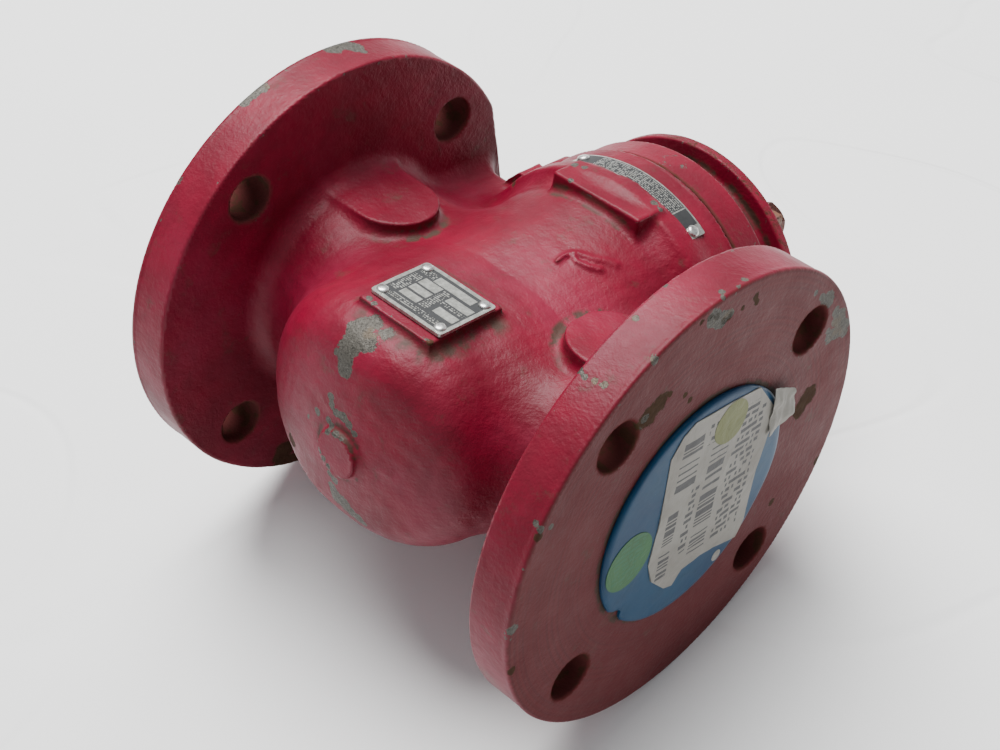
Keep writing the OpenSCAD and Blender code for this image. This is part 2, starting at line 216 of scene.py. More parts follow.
def collar_lug(x, y, z):
    slant = ((-60 - x) * 7.5 + (-33.5 - y) * 7.0) / 10.26
    shape = round_meet(maximum(-33.5 - y, y), maximum(-67 - x, x + 40), 0.9)
    shape = round_meet(shape, slant, 0.9)
    return round_meet(shape, maximum(74 - z, z - 88.5), 0.8)


def collar_hollow(x, y, z):
    """Room over the collar for the gasket, the cover and the lug's screw."""
    cover_room = drum(x, y, z, COLLAR_R, COLLAR_TOP, 120, 0.2)
    screw_room = drum(x - LUG_SCREW[0], y - LUG_SCREW[1], z, 6.8, COLLAR_TOP, 120, 0.2)
    return minimum(cover_room, screw_room)


def inner_hollows(x, y, z):
    taper = hypot(x, y) - 33 - 0.07 * (z + 50)
    seat = maximum(taper, abs(z) - 50)
    recess = maximum(hypot(x, y) - 46, maximum(50 - z, z - 90))
    pocket = maximum(hypot(x, y) - 26, maximum(-64 - z, z + 49))
    t = smooth((abs(x) - 46) / 30.5)
    port = round_rectangle(y, z, 17, 35, 7) * (1 - t) + (hypot(y, z) - BORE_R) * t
    u, v = around(x, y, 8, 0, COVER_SCREW_AT)
    screws = maximum(hypot(u, v) - SCREW_HOLE_R, COLLAR_TOP - 20 - z)
    return minimum.reduce([seat, recess, pocket, port, screws])


def segments_distance(x, y, z, line):
    """Distance to a line through points."""
    nearest = np.full(np.shape(x), 1e9)
    for a, b in zip(line[:-1], line[1:]):
        a, d = np.array(a, float), np.array(b, float) - np.array(a, float)
        t = ((x - a[0]) * d[0] + (y - a[1]) * d[1] + (z - a[2]) * d[2]) / (d @ d)
        t = clip(t, 0, 1)
        far = (x - a[0] - t * d[0]) ** 2 + (y - a[1] - t * d[1]) ** 2 + (z - a[2] - t * d[2]) ** 2
        nearest = minimum(nearest, far)
    return np.sqrt(nearest)


SAG_LINES = [
    [(11.3, -50.2, 16.2), (11.1, -50.7, 20.0), (12.1, -50.9, 23.8), (14.2, -50.9, 25.6), (19.5, -49.9, 29.0),
     (21.9, -49.3, 31.7), (25.1, -48.2, 34.5)],
    [(12.1, -50.8, 23.4), (16.3, -50.0, 22.2), (21.2, -49.0, 24.5), (23.8, -48.4, 27.4)],
]


def casting(x, y, z):
    """The whole body casting. Cast skin is a little uneven, and the machined faces are flat."""
    collar = drum(x, y, z, COLLAR_R, 60, COLLAR_TOP, 0.7)
    foot = drum(x + 2, y - 5, z, 10, -79.4, -60, 0.8)
    pads = minimum(
        block(x, y, z, (-18, PAD_Y, -58), (19, -36, -20), 1.0),
        block(x, y, z, (-22.5, -61.5, 48.5), (22.5, -40, 65), 1.1),
    )
    shell = lower_body(x, y, z)
    for part, fillet in (
        (neck(x, y, z), 14), (collar, 11), (ribs(x, y, z), 11), (foot, 1.5), (pads, 2.2),
        (flanges(x, y, z), 8), (d_bosses(x, y, z), 3.5), (collar_lug(x, y, z), 1.2),
    ):
        shell = round_union(shell, part, fillet)
    skin = smooth((100.4 - abs(x)) / 1.5) * smooth((85.5 - z) / 1.5)
    rough_skin = skin * (0.3 + 0.7 * smooth((84 - abs(x)) / 4))
    shell = shell + 0.3 * skin + rough_skin * (0.16 * waves(x, y, z, 26, 5) + 0.06 * waves(x, y, z, 8, 6))
    near = (abs(y + 50) < 8) & (abs(x - 17) < 16) & (abs(z - 25) < 18)
    ridge = np.full(np.shape(shell), 9.0)
    if near.any():
        ridge[near] = minimum(*[segments_distance(x[near], y[near], z[near], s) for s in SAG_LINES])
        ridge[near] -= 0.9
    shell = round_union(shell, ridge + 0.95, 3.2)
    for hollow, edge in ((collar_hollow, 0.5), (inner_hollows, 0.5), (bolt_holes, 0.8)):
        shell = round_meet(shell, -hollow(x, y, z), edge)
    return shell


def cover_shape(x, y, z):
    ring = drum(x, y, z, COVER_R, COVER_LOW, COVER_TOP, 0.9)
    spigot = drum(x, y, z, 45.7, 52, 95, 0.5)
    made = minimum(ring, spigot) + 0.05 * waves(x, y, z, 14, 11)
    hole = minimum(hypot(x, y) - STEM_R - 0.3, maximum(hypot(x, y) - STUFFING_R, 84 - z))
    u, v = around(x, y, 8, 0, COVER_SCREW_AT)
    bore = hypot(u, v)
    hole = minimum(hole, minimum(bore - SCREW_HOLE_R, maximum(bore - 6.2, COVER_TOP - 7.94 - z)))
    u, v = around(x, y, 4, PLATE_SCREW_START, PLATE_SCREW_AT)
    hole = minimum(hole, maximum(hypot(u, v) - SCREW_HOLE_R, COVER_TOP - 14 - z))
    notch = hypot(x - LUG_SCREW[0], y - LUG_SCREW[1]) - 6.8
    return round_meet(made, -minimum(hole, notch), 0.4)


def plate_shape(x, y, z):
    hub = drum(x, y, z, HUB_R, COVER_TOP, 119, 0.5)
    plate = drum(x, y, z, PLATE_R, PLATE_LOW, PLATE_TOP, 0.9)
    made = round_union(hub, plate, 2.5) + 0.06 * waves(x, y, z, 17, 21)
    hole = minimum(hypot(x, y) - STEM_R - 0.4, maximum(hypot(x, y) - STUFFING_R, z - 108))
    u, v = around(x, y, 4, PLATE_SCREW_START, PLATE_SCREW_AT)
    hole = minimum(hole, hypot(u, v) - SCREW_HOLE_R)
    return round_meet(made, -hole, 0.4)


# ---- surfaces from distances
def sample(field, low, counts, step):
    """Distances on a grid. Only the blocks of it that are near the surface are measured in full."""
    size = 8
    blocks = [math.ceil(c / size) for c in counts]
    middles = [low[k] + (np.arange(blocks[k]) * size + (size - 1) / 2) * step for k in range(3)]
    rough = field(*np.meshgrid(*middles, indexing="ij"))
    near = abs(rough) < size * step * 1.5

    def spread(a):
        for k in range(3):
            a = np.repeat(a, size, axis=k)
        return a[: counts[0], : counts[1], : counts[2]]

    values = spread(rough).copy()
    at = np.nonzero(spread(near))
    values[at] = field(*[low[k] + at[k] * step for k in range(3)])
    return values


def surface_nets(values, low, step):
    """Points and quads of the zero surface of a grid of distances."""
    inside = values < 0
    n = np.array(values.shape) - 1
    corners = [(a, b, c) for a in (0, 1) for b in (0, 1) for c in (0, 1)]
    filled = sum(inside[a:a + n[0], b:b + n[1], c:c + n[2]].astype(np.int8) for a, b, c in corners)
    cells = np.argwhere((filled > 0) & (filled < 8))
    index = np.full(n, -1, np.int64)
    index[tuple(cells.T)] = np.arange(len(cells))
    total, hits = np.zeros((len(cells), 3)), np.zeros(len(cells))
    for corner in corners:
        for axis in range(3):
            if corner[axis]:
                continue
            other = list(corner)
            other[axis] = 1
            va = values[tuple((cells + corner).T)]
            vb = values[tuple((cells + other).T)]
            cross = (va < 0) != (vb < 0)
            place = np.repeat(np.array([corner], float), cross.sum(), axis=0)
            place[:, axis] = va[cross] / (va[cross] - vb[cross])
            total[cross] += place
            hits[cross] += 1
    points = low + step * (cells + total / hits[:, None])
    quads = []
    for axis in range(3):
        u, v = (axis + 1) % 3, (axis + 2) % 3
        first = np.take(inside, range(n[axis]), axis)
        second = np.take(inside, range(1, n[axis] + 1), axis)
        edges = np.argwhere(first != second)
        keep = (edges[:, u] > 0) & (edges[:, v] > 0) & (edges[:, u] < n[u]) & (edges[:, v] < n[v])
        edges = edges[keep]
        outward = first[tuple(edges.T)]
        ring = []
        for du, dv in ((0, 0), (1, 0), (1, 1), (0, 1)):
            cell = edges.copy()
            cell[:, u] -= du
            cell[:, v] -= dv
            ring.append(index[tuple(cell.T)])
        quad = np.stack(ring, 1)
        quad[~outward] = quad[~outward][:, ::-1]
        quads.append(quad)
    return points, np.concatenate(quads)


def slope(field, p):
    h = 0.05
    parts = []
    for k in range(3):
        step = np.zeros(3)
        step[k] = h
        parts.append((field(*(p + step).T) - field(*(p - step).T)) / (2 * h))
    return np.stack(parts, 1)


def shape_mesh(field, low, high, step):
    """Points, quads and outward directions of a shape given by its distances."""
    counts = [int(math.ceil((high[k] - low[k]) / step)) + 1 for k in range(3)]
    points, quads = surface_nets(sample(field, low, counts, step), np.array(low, float), step)
    for _ in range(2):
        g = slope(field, points)
        move = field(*points.T) / maximum((g * g).sum(1), 0.3)
        points = points - clip(move, -step * 0.6, step * 0.6)[:, None] * g
    g = slope(field, points)
    return points, quads, g / maximum(np.linalg.norm(g, axis=1), 1e-6)[:, None]


# ---- objects
def add_object(name, points, faces, material, body, nodes=(), slot=None, values=None, sharp=None,
               outward=None):
    """A mesh object from valve millimetres that rides on a CAD body and stands for CAD nodes."""
    mesh = bpy.data.meshes.new(name)
    mesh.from_pydata(to_row(points).tolist(), [], [list(f) for f in np.asarray(faces, dtype=object)])
    mesh.validate()
    mesh.polygons.foreach_set("use_smooth", np.ones(len(mesh.polygons), bool))
    if sharp is not None:
        mesh.set_sharp_from_angle(angle=radians(sharp))
    if outward is not None:
        mesh.normals_split_custom_set_from_vertices((outward @ AXES).tolist())
    for key, data in (values or {}).items():
        data = np.asarray(data, np.float32)
        kind = "FLOAT_VECTOR" if data.ndim == 2 else "FLOAT"
        attribute = mesh.attributes.new(key, kind, "POINT")
        attribute.data.foreach_set("vector" if data.ndim == 2 else "value", data.ravel())
    mesh.materials.append(material)
    made = bpy.data.objects.new(name, mesh)
    show(made)
    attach(made, body)
    if nodes:
        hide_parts(*nodes)
    return made


def lathe(profile, segments=96):
    """Points and faces of a closed form turned about w, from (radius, height) pairs listed from
    the middle of one end, round the outside, to the middle of the other, or a closed ring."""
    ring = profile[0][0] > 0
    points, rows = [], []
    for radius, height in profile:
        if radius == 0:
            rows.append([len(points)])
            points.append((0, 0, height))
            continue
        rows.append(list(range(len(points), len(points) + segments)))
        for i in range(segments):
            a = 2 * pi * i / segments
            points.append((radius * cos(a), radius * sin(a), height))
    if ring:
        rows.append(rows[0])
    faces = []
    for low, high in zip(rows[:-1], rows[1:]):
        for i in range(segments):
            j = (i + 1) % segments
            if len(low) == 1:
                faces.append((low[0], high[j], high[i]))
            elif len(high) == 1:
                faces.append((low[i], low[j], high[0]))
            else:
                faces.append((low[i], low[j], high[j], high[i]))
    return np.array(points, float), faces


def hexagon_head(across_flats, low, high, chamfer):
    """Hexagonal head with its top corners turned off."""
    half = across_flats / 2
    corner = half / cos(pi / 6)
    segments = 48
    a = np.arange(segments) * 2 * pi / segments
    flat = half / np.cos((a + pi / 6) % (pi / 3) - pi / 6)
    drop = (flat - half) / (corner - half)
    rings = [(flat, low), (flat, high - chamfer * (0.35 + 0.65 * drop)),
             (np.full(segments, half * 0.93), high)]
    points, faces = [(0, 0, low)], []
    for r, z in rings:
        points.extend(zip(r * np.cos(a), r * np.sin(a), np.broadcast_to(z, a.shape)))
    points.append((0, 0, high))
    for i in range(segments):
        j = (i + 1) % segments
        faces.append((0, 1 + j, 1 + i))
        for k in (0, 1):
            b = 1 + k * segments
            faces.append((b + i, b + j, b + segments + j, b + segments + i))
        b = 1 + 2 * segments
        faces.append((b + i, b + j, len(points) - 1))
    return np.array(points, float), faces


def joined(parts):
    """Several (points, faces) as one."""
    points, faces, n = [], [], 0
    for p, f in parts:
        points.append(np.asarray(p, float))
        faces.extend([tuple(i + n for i in face) for face in f])
        n += len(p)
    return np.concatenate(points), faces


def moved(part, x=0.0, y=0.0, z=0.0):
    return part[0] + np.array([x, y, z]), part[1]


def sheet(outline, centre, rings, lift, base):
    """A thin closed piece over a plane, as points in u, v and height, and faces.
    outline is a closed line that can be seen whole from centre; lift and base give the heights."""
    outline, centre = np.asarray(outline, float), np.asarray(centre, float)
    n = len(outline)
    t = np.linspace(0, 1, rings + 1)[1:] ** 0.85
    flat = (centre + t[:, None, None] * (outline - centre)).reshape(-1, 2)
    flat = np.concatenate([[centre], flat])
    points = np.concatenate([
        np.column_stack([flat, lift(*flat.T)]),
        np.column_stack([flat, base(*flat.T)]),
    ])
    half = len(flat)
    faces = []
    for i in range(n):
        j = (i + 1) % n
        faces.append((0, 1 + i, 1 + j))
        faces.append((half, half + 1 + j, half + 1 + i))
        for k in range(rings - 1):
            a, b = 1 + k * n, 1 + (k + 1) * n
            faces.append((a + i, b + i, b + j, a + j))
            faces.append((half + a + i, half + a + j, half + b + j, half + b + i))
        a = 1 + (rings - 1) * n
        faces.append((a + i, half + a + i, half + a + j, a + j))
    return points, faces


def dense(corners, spacing):
    """A closed line through corners, with points about spacing apart."""
    line = []
    for a, b in zip(corners, list(corners[1:]) + [corners[0]]):
        a, b = np.array(a, float), np.array(b, float)
        count = max(1, int(round(np.linalg.norm(b - a) / spacing)))
        line.extend(a + (b - a) * i / count for i in range(count))
    return np.array(line)


def circle(centre, radius, count=96):
    a = np.arange(count) * 2 * pi / count
    return np.column_stack([centre[0] + radius * np.cos(a), centre[1] + radius * np.sin(a)])


# ---- material nodes
making = {}  # the tree, the shader and the coordinates of the material being made


def new_material(name, roughness=0.5, metallic=0.0, specular=0.5):
    """Starts a material. The helpers below add their nodes to the one started last."""
    material = bpy.data.materials.new(name)
    material.use_nodes = True
    tree = material.node_tree
    tree.nodes.clear()
    out = tree.nodes.new("ShaderNodeOutputMaterial")
    shader = tree.nodes.new("ShaderNodeBsdfPrincipled")
    tree.links.new(shader.outputs[0], out.inputs[0])
    shader.inputs["Roughness"].default_value = roughness
    shader.inputs["Metallic"].default_value = metallic
    shader.inputs["Specular IOR Level"].default_value = specular
    making.update(tree=tree, shader=shader)
    making["where"] = put("TexCoord", {}).outputs["Object"]
    return material


def put(kind, inputs, **settings):
    """A node with its settings, and its inputs as numbers or as sockets to link."""
    node = making["tree"].nodes.new("ShaderNode" + kind)
    for key, value in settings.items():
        setattr(node, key, value)
    for key, value in inputs.items():
        if isinstance(value, bpy.types.NodeSocket):
            making["tree"].links.new(value, node.inputs[key])
        else:
            node.inputs[key].default_value = value
    return node


def link(socket, name):
    """Feeds one input of the material's shader."""
    making["tree"].links.new(socket, making["shader"].inputs[name])


def noise(size_mm, detail=3.0, rough=0.55, warp=0.0, at=None):
    """Noise whose features are about that many millimetres across, from 0 to 1."""
    made = put("TexNoise", {
        "Vector": making["where"] if at is None else at, "Scale": 1000 / size_mm,
        "Detail": detail, "Roughness": rough, "Distortion": warp,
    })
    return made.outputs["Fac"]


def calc(operation, a, b=0.0):
    return put("Math", {0: a, 1: b}, operation=operation).outputs[0]


def times(a, b):
    return calc("MULTIPLY", a, b)


def plus(a, b):
    return calc("ADD", a, b)


def highest(a, b):
    return calc("MAXIMUM", a, b)


def whole(value, step):
    """How many whole steps value holds."""
    return calc("FLOOR", calc("DIVIDE", value, step))


def weighted(*pairs):
    """Sum of sockets, each with its weight."""
    return reduce(plus, [times(socket, weight) for socket, weight in pairs])


def ease(value, low, high, to_low=0.0, to_high=1.0):
    """value taken smoothly from low..high to to_low..to_high."""
    made = put("MapRange", {
        "Value": value, "From Min": low, "From Max": high, "To Min": to_low, "To Max": to_high,
    }, interpolation_type="SMOOTHSTEP")
    return made.outputs[0]


def mix(factor, a, b):
    """Colour a, turning to b with factor."""
    def full(c):
        return c if isinstance(c, bpy.types.NodeSocket) else (*c, 1.0)
    return put("Mix", {0: factor, 6: full(a), 7: full(b)}, data_type="RGBA").outputs[2]


def read(name, output="Fac"):
    """The mesh's own values of that name."""
    return put("Attribute", {}, attribute_name=name).outputs[output]


def relief(height_mm):
    """Bump from a height in millimetres."""
    link(put("Bump", {"Height": height_mm, "Strength": 1.0, "Distance": MM}).outputs[0], "Normal")


def chance(dimensions, **cell):
    """A random number from 0 to 1 for each cell."""
    at = put("CombineXYZ", cell).outputs[0]
    return put("TexWhiteNoise", {"Vector": at}, noise_dimensions=dimensions).outputs["Value"]


IRON_DARK = (0.028, 0.026, 0.022)
IRON_GLINT_SPECK = (0.15, 0.145, 0.13)
CORNER_GRIME_AND_SHADE = (0.040, 0.026, 0.016)
RUST = (0.16, 0.055, 0.020)


def pipe_radius():
    """Distance from the pipe's axis, in millimetres."""
    xyz = put("SeparateXYZ", {"Vector": making["where"]})
    y = times(xyz.outputs["Y"], xyz.outputs["Y"])
    z = times(xyz.outputs["Z"], xyz.outputs["Z"])
    return times(calc("SQRT", plus(y, z)), 1000.0)


def worn_enamel(name, dull=0.0):
    """Crimson enamel brushed over a rough casting, with pale pink patches that are partly a painted sheen,
    dirt with painted shade in the corners, rust with painted shade in the bolt holes, and bare chips whose
    lightest specks are painted glints.
    """
    material = new_material(name, specular=0.26)
    patches = noise(38, 3)
    fine = noise(5, 4)
    base = mix(ease(patches, 0.35, 0.65), (0.116, 0.0008, 0.0112), (0.176, 0.0014, 0.0175))
    base = mix(ease(fine, 0.35, 0.75, 0, 0.35), base, (0.100, 0.0010, 0.0100))
    # Pale pink patches: partly paint overspray, partly a painted sheen for soft highlights.
    haze_and_sheen = times(ease(noise(55, 4, 0.6), 0.45, 0.72), 0.45)
    base = mix(haze_and_sheen, base, (0.225, 0.016, 0.044))
    if dull:
        base = mix(dull, base, (0.09, 0.008, 0.012))
    face = read("face")
    rings = noise(1.3, 2, at=put("CombineXYZ", {"X": times(pipe_radius(), MM)}).outputs[0])
    faced = mix(ease(rings, 0.3, 0.7), (0.076, 0.0060, 0.0080), (0.106, 0.0100, 0.0120))
    faced = mix(ease(noise(30, 4), 0.45, 0.7, 0, 0.5), faced, (0.12, 0.016, 0.018))
    base = mix(face, base, faced)
    # Bolt holes and the cover's lower seam: dark rusty colour, darkened further as painted shade of the
    # recess.
    hollow = mix(ease(noise(6, 4), 0.5, 0.62), (0.090, 0.026, 0.024), (0.060, 0.030, 0.019))
    bore = read("bore")
    base = mix(times(bore, 0.95), base, hollow)
    # Dirt with painted shade: hollows, corners and the feet of raised parts turn toward a dark brown.
    dirt = ease(noise(9, 4, 0.65), 0.3, 0.6)
    corner = times(read("grime_and_shade"), dirt)
    base = mix(ease(corner, 0.14, 0.50, 0, 0.9), base, CORNER_GRIME_AND_SHADE)
    smudge = times(ease(noise(11, 6, 0.72), 0.57, 0.70), 0.50)
    base = mix(smudge, base, (0.070, 0.030, 0.022))
    stain_edge = plus(read("stain"), weighted((noise(5, 6, 0.8, 0.8), 0.9)))
    stained = ease(stain_edge, 0.86, 0.98, 0, 0.85)
    stain_colour = mix(noise(3, 3), (0.020, 0.013, 0.007), (0.065, 0.047, 0.024))
    base = mix(stained, base, stain_colour)
    worn = times(read("wear"), ease(noise(6, 4, 0.7), 0.60, 0.67))
    ragged = weighted((noise(6, 5, 0.75, 0.8), 0.6), (noise(1.4, 2, 0.7), 0.2))
    chip = ease(plus(read("chip"), ragged), 0.86, 0.90)
    bare = highest(chip, ease(worn, 0.30, 0.45))
    bare = times(bare, ease(bore, 0.2, 0.7, 1, 0))
    # Bare iron grain; its lightest specks are painted glints.
    speckle = noise(0.9, 3, 0.8)
    iron = mix(ease(speckle, 0.30, 0.55), IRON_DARK, (0.085, 0.078, 0.066))
    iron = mix(ease(speckle, 0.58, 0.70), iron, IRON_GLINT_SPECK)
    iron = mix(ease(noise(11, 3), 0.55, 0.75, 0, 0.6), iron, (0.13, 0.085, 0.045))
    base = mix(bare, base, iron)
    link(base, "Base Color")
    rough = weighted((noise(24, 3), 0.22), (fine, 0.12))
    rough = plus(rough, 0.30)
    rough = plus(rough, times(face, 0.14))
    rough = plus(rough, times(bore, 0.5))
    matt = highest(bore, times(stained, 0.8))
    link(ease(matt, 0, 1, 0.26, 0.03), "Specular IOR Level")
    rough = plus(rough, times(stained, 0.25))
    link(plus(rough, times(corner, 0.3)), "Roughness")
    link(times(bare, 0.35), "Metallic")
    height = weighted((noise(2.0, 3, 0.6), 0.27), (noise(0.9, 2, 0.5), 0.05),
                      (noise(14, 2), 0.14), (bare, -0.16), (stained, -0.05),
                      (times(bare, speckle), 0.22), (times(face, rings), 0.05))
    relief(height)
    return material


def metal(name, dark, light, roughness, rust=0.25, streak=1.2):
    """Turned or rolled metal with fine marks, dull patches and a little rust."""
    material = new_material(name, roughness, 0.85)
    streaks = noise(streak, 3, 0.6)
    base = mix(ease(streaks, 0.3, 0.7), dark, light)
    rusty = ease(noise(9, 5, 0.7), 0.62 - rust * 0.5, 0.80 - rust * 0.4, 0, min(1, 0.5 + rust))
    base = mix(rusty, base, RUST)
    link(base, "Base Color")
    link(ease(plus(streaks, rusty), 0.2, 1.4, roughness, roughness + 0.35), "Roughness")
    link(ease(rusty, 0, 1, 0.85, 0.2), "Metallic")
    relief(weighted((streaks, 0.05), (rusty, 0.05), (noise(4, 3), 0.05)))
    return material


def plain_soft(name, dark, light, roughness, size_mm, depth):
    """Matt material with a fibrous or grainy surface."""
    material = new_material(name, roughness)
    grain = noise(size_mm, 4, 0.65, 0.4)
    base = mix(ease(grain, 0.3, 0.7), dark, light)
    base = mix(ease(noise(18, 3), 0.5, 0.8, 0, 0.4), base, dark)
    link(base, "Base Color")
    relief(times(grain, depth))
    return material


def braid(name):
    """Graphite packing: crossed strands."""
    material = new_material(name, 0.6)
    strands = []
    for direction in ("X", "Y"):
        made = put("TexWave", {"Vector": making["where"], "Scale": 150.0, "Distortion": 3.0, "Detail": 2.0},
                   bands_direction=direction)
        strands.append(made.outputs["Fac"])
    weave = highest(*strands)
    link(mix(weave, (0.012, 0.012, 0.013), (0.085, 0.085, 0.09)), "Base Color")
    relief(times(weave, 0.3))
    return material


def inside_bar(value, centre, half):
    """1 where value is within half of centre."""
    return put("Math", {0: value, 1: centre, 2: half}, operation="COMPARE").outputs[0]


def bars(u, v, areas):
    """1 inside any of the rectangles (u from, u to, v from, v to)."""
    return reduce(highest, [
        times(inside_bar(u, (a + b) / 2, (b - a) / 2), inside_bar(v, (c + d) / 2, (d - c) / 2))
        for a, b, c, d in areas
    ])


def marks_along(u, v, cell_u, cell_v, fill, seed):
    """Broken strokes in rows, like print too small to read."""
    across = calc("FRACT", calc("DIVIDE", v, cell_v))
    ink = calc("LESS_THAN", chance("3D", X=whole(u, cell_u), Y=whole(v, cell_v), Z=seed), fill)
    return times(ink, inside_bar(across, 0.5, 0.28))


def sheet_axes():
    """The sheet's own two directions, in millimetres."""
    xyz = put("SeparateXYZ", {"Vector": read("sheet", "Vector")})
    return xyz.outputs["X"], xyz.outputs["Y"]


def etched_plate(name, light_areas, dark_areas, print_areas):
    """Aluminium plate: dark etched fields, light blank fields and rows of tiny strokes."""
    material = new_material(name, 0.38, 0.75)
    u, v = sheet_axes()
    metal_grain = noise(2.0, 4, 0.7)
    light = mix(ease(metal_grain, 0.3, 0.75), (0.33, 0.33, 0.30), (0.58, 0.58, 0.54))
    dirt = ease(noise(6, 4, 0.7), 0.5, 0.75, 0, 0.55)
    light = mix(dirt, light, (0.22, 0.20, 0.16))
    dark = mix(metal_grain, (0.006, 0.007, 0.008), (0.026, 0.027, 0.028))
    ink = calc("SUBTRACT", bars(u, v, dark_areas), bars(u, v, light_areas))
    strokes = times(marks_along(u, v, 0.45, 1.05, 0.62, 3.0), bars(u, v, print_areas))
    ink = highest(calc("SUBTRACT", ink, strokes), 0.0)
    worn = ease(noise(1.6, 4, 0.75), 0.64, 0.74)
    ink = times(ink, ease(worn, 0, 1, 1, 0.55))
    link(mix(ink, light, dark), "Base Color")
    link(ease(ink, 0, 1, 0.80, 0.0), "Metallic")
    link(ease(ink, 0, 1, 0.36, 0.60), "Roughness")
    relief(weighted((ink, -0.06), (metal_grain, 0.03)))
    return material


def polyethylene(name):
    """Blue moulded plastic with dust, scuffs and a soft gloss."""
    material = new_material(name, 0.42, specular=0.15)
    shade = noise(34, 3)
    base = mix(ease(shade, 0.3, 0.7), (0.003, 0.034, 0.086), (0.005, 0.052, 0.114))
    dust = ease(noise(8, 5, 0.7), 0.50, 0.80, 0, 0.5)
    base = mix(dust, base, (0.026, 0.056, 0.078))
    scuff = ease(noise(2.2, 5, 0.8, 1.5), 0.66, 0.72, 0, 0.5)
    base = mix(scuff, base, (0.16, 0.21, 0.25))
    link(base, "Base Color")
    link(ease(dust, 0, 1, 0.36, 0.7), "Roughness")
    relief(weighted((noise(16, 3), 0.35), (scuff, 0.05), (noise(1, 2), 0.02)))
    return material


def paper(name, light, shade, ink_colour=(0.03, 0.03, 0.035), codes=(), strokes=()):
    """Paper with creases and dirt. codes are (areas, width of a bar), and strokes are (areas, cell
    along a row, cell across it, seed)."""
    material = new_material(name, 0.62)
    u, v = sheet_axes()
    base = mix(ease(noise(22, 4, 0.6), 0.35, 0.75), light, shade)
    dirt = ease(noise(5, 5, 0.75), 0.60, 0.76, 0, 0.5)
    base = mix(dirt, base, tuple(c * 0.55 for c in shade))
    printed = []
    for areas, period in codes:
        dark = calc("LESS_THAN", chance("2D", X=whole(u, period), Y=7.0), 0.52)
        printed.append(times(bars(u, v, areas), dark))
    for areas, cell_v, cell_u, seed in strokes:
        printed.append(times(bars(u, v, areas), marks_along(v, u, cell_v, cell_u, 0.66, seed)))
    if printed:
        faded = ease(noise(3, 4, 0.7), 0.62, 0.78, 0.88, 0.45)
        base = mix(times(reduce(highest, printed), faded), base, ink_colour)
    link(base, "Base Color")
    creases = noise(9, 4, 0.6, 1.0)
    relief(weighted((creases, 0.7), (noise(0.7, 2), 0.02)))
    return material


def floor_sheet(name):
    material = new_material(name, 0.65)
    tone = ease(noise(260, 3), 0.3, 0.7)
    link(mix(tone, (0.90, 0.90, 0.89), (0.94, 0.94, 0.93)), "Base Color")
    folds = calc("ABSOLUTE", calc("SUBTRACT", noise(420, 1, 0.5, 1.5), 0.5))
    relief(weighted((noise(190, 2), 1.2), (ease(folds, 0, 0.01), 0.5)))
    return material


enamel = worn_enamel("crimson_enamel")
dull_enamel = worn_enamel("dull_crimson_enamel", 0.35)
turned = metal("turned_steel", (0.20, 0.19, 0.18), (0.46, 0.44, 0.42), 0.30, 0.15)
brown_steel = metal("brown_steel", (0.045, 0.016, 0.013), (0.13, 0.048, 0.038), 0.50, 0.2)
stem_steel = metal("stem_steel", (0.070, 0.042, 0.034), (0.21, 0.15, 0.13), 0.44, 0.45)
screw_metal = metal("screw_steel", (0.10, 0.095, 0.09), (0.26, 0.25, 0.24), 0.38, 0.22)
bronze = metal("plain_bronze", (0.36, 0.21, 0.08), (0.62, 0.42, 0.19), 0.32, 0.0)
pin_metal = metal("pin_aluminium", (0.42, 0.42, 0.40), (0.74, 0.74, 0.72), 0.25, 0.0, 2.5)
fibre = plain_soft("gasket_fibre", (0.012, 0.012, 0.012), (0.045, 0.042, 0.038), 0.75, 1.2, 0.12)
graphite = braid("graphite_braid")
blue = polyethylene("blue_polyethylene")


# ---- the body casting
GRID = 1.25

